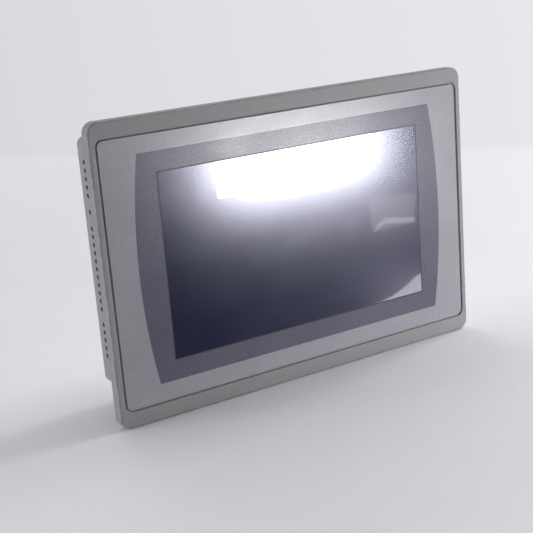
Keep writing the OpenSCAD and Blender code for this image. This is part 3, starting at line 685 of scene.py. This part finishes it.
# ---------------------------------------------------------------- light
world = bpy.data.worlds.new("studio")
scene.world = world
world.use_nodes = True
world_tree = world.node_tree
sky = world_tree.nodes["Background"]
where = world_tree.nodes.new("ShaderNodeTexCoord")
split = world_tree.nodes.new("ShaderNodeSeparateXYZ")
world_tree.links.new(where.outputs["Generated"], split.inputs[0])


def world_range(source, low, high, start, end):
    n = world_tree.nodes.new("ShaderNodeMapRange")
    for socket, v in (("From Min", low), ("From Max", high), ("To Min", start), ("To Max", end)):
        n.inputs[socket].default_value = v
    world_tree.links.new(source, n.inputs["Value"])
    return n


def world_math(operation, a, b):
    n = world_tree.nodes.new("ShaderNodeMath")
    n.operation = operation
    world_tree.links.new(a, n.inputs[0])
    world_tree.links.new(b, n.inputs[1])
    return n.outputs["Value"]


# dim in front of the object, and the same pale backdrop wherever the camera looks
dim = world_range(split.outputs["Y"], 0.0, 0.34, 0.05, 0.76)
dim.interpolation_type = "SMOOTHSTEP"
seen = world_tree.nodes.new("ShaderNodeLightPath").outputs["Is Camera Ray"]
across = world_range(split.outputs["X"], 0.25, 0.75, 0.91, 1.09)
backdrop = world_range(seen, 0, 1, 0, 0.76)
level = world_math("MAXIMUM", dim.outputs["Result"], backdrop.outputs["Result"])
world_tree.links.new(world_math("MULTIPLY", level, across.outputs["Result"]),
                     sky.inputs["Strength"])
sky.inputs["Color"].default_value = (0.985, 0.985, 1.02, 1)

BOARD_Y, BOARD_STEP = -0.309, 0.001     # plane of the card and boards, and the gap between them


def area(name, place, aim, size, power, glossy=True, diffuse=True):
    data = bpy.data.lights.new(name, "AREA")
    data.shape = "RECTANGLE"
    data.size, data.size_y = size
    data.energy = power
    o = bpy.data.objects.new(name, data)
    scene.collection.objects.link(o)
    o.location = place
    o.rotation_mode = "QUATERNION"
    o.rotation_quaternion = (Vector(aim) - Vector(place)).to_track_quat("-Z", "Y")
    o.visible_camera = False
    o.visible_glossy = glossy
    o.visible_diffuse = diffuse
    return o


# the card is the softbox that the screen reflects, and the others only light the surfaces
area("key", (1.5, 0.0, 0.95), (0, 0, 0), (0.8, 1.5), 18.4, glossy=False)
area("fill", (0.64, -0.37, -0.07), (0, 0, -0.05), (0.25, 0.045), 3.9, glossy=False)
area("left", (-1.3, 0.3, 0.22), (0, 0, 0), (0.6, 0.5), 5.4, glossy=False)
area("rear", (0.15, 1.4, 0.9), (0.1, 0.6, -0.1), (0.8, 0.8), 4.0, glossy=False)
area("card", (0.1966, BOARD_Y, -0.001), (0.1966, 0.2, -0.001), (0.1796, 0.066), 1.68,
     diffuse=False)


def board(glow, name, points):
    """A pale board that shows only as a reflection."""
    mesh = bpy.data.meshes.new(name)
    mesh.from_pydata(points, [], [tuple(range(len(points)))])
    mesh.materials.append(glow.material)
    o = bpy.data.objects.new(name, mesh)
    scene.collection.objects.link(o)
    o.visible_camera = o.visible_diffuse = o.visible_shadow = o.visible_transmission = False


# boards beside the camera, nearest first, as (strength, outline in X and Z)
BOARDS = (
    (7.0, ((0.2834, -0.1013), (0.2967, -0.0944), (0.3370, -0.1000), (0.3374, -0.0947),
           (0.2971, -0.0880), (0.2880, -0.0935))),
    (9.9, ((0.3379, -0.1577), (0.3500, -0.1577), (0.3500, -0.1850), (0.2700, -0.1790),
           (0.3042, -0.1730), (0.3208, -0.1672))),
    (2.4, ((0.2805, -0.0674), (0.3415, -0.0688), (0.3370, -0.1010), (0.2834, -0.1013))),
)
for i, (strength, shape) in enumerate(BOARDS):
    glow = Maker("board_glow")
    glow.set(Base_Color=(0, 0, 0), Emission_Color=(1, 0.97, 1), Emission_Strength=strength)
    board(glow, "board", [(x, BOARD_Y - BOARD_STEP * i, z) for x, z in shape])

# the rearmost board brightens along X
glow = Maker("board_glow")
glow.set(Base_Color=(0, 0, 0), Emission_Color=(1, 0.97, 1))
parts = glow.tree.nodes.new("ShaderNodeSeparateXYZ")
glow.link(glow.place, parts.inputs[0])
glow.link(glow.span(parts.outputs["X"], 0.08, 0.31, 0, 0.24),
          glow.shader.inputs["Emission Strength"])
board(glow, "board", [(x, BOARD_Y - BOARD_STEP * len(BOARDS), z) for x, z in
                      ((0.180, -0.055), (0.46, -0.055), (0.46, -0.21), (0.08, -0.21),
                       (0.08, -0.145), (0.180, -0.145))])

# the pale floor just in front, as the satin face sees it
glow = Maker("floor_glow")
glow.set(Base_Color=(0, 0, 0), Emission_Color=(0.90, 0.95, 1), Emission_Strength=0.78)
board(glow, "floor_glow", [(x, y, FLOOR_Z + 0.001) for x, y in
                           ((-0.14, -0.062), (0.15, -0.062), (0.15, -0.013), (-0.14, -0.013))])

# narrow lamps straight above the floor, in front of the object and behind the camera
pool = area("pool", (0.20, -0.34, 1.5), (0.20, -0.34, 0), (0.5, 0.5), 0.33, glossy=False)
pool.data.spread = math.radians(60)
behind = area("behind", (-0.32, -1.02, 1.5), (-0.32, -1.02, 0), (0.5, 0.5), 0.5, glossy=False)
behind.data.spread = math.radians(50)

scene.view_settings.view_transform = "Standard"
scene.view_settings.look = "None"
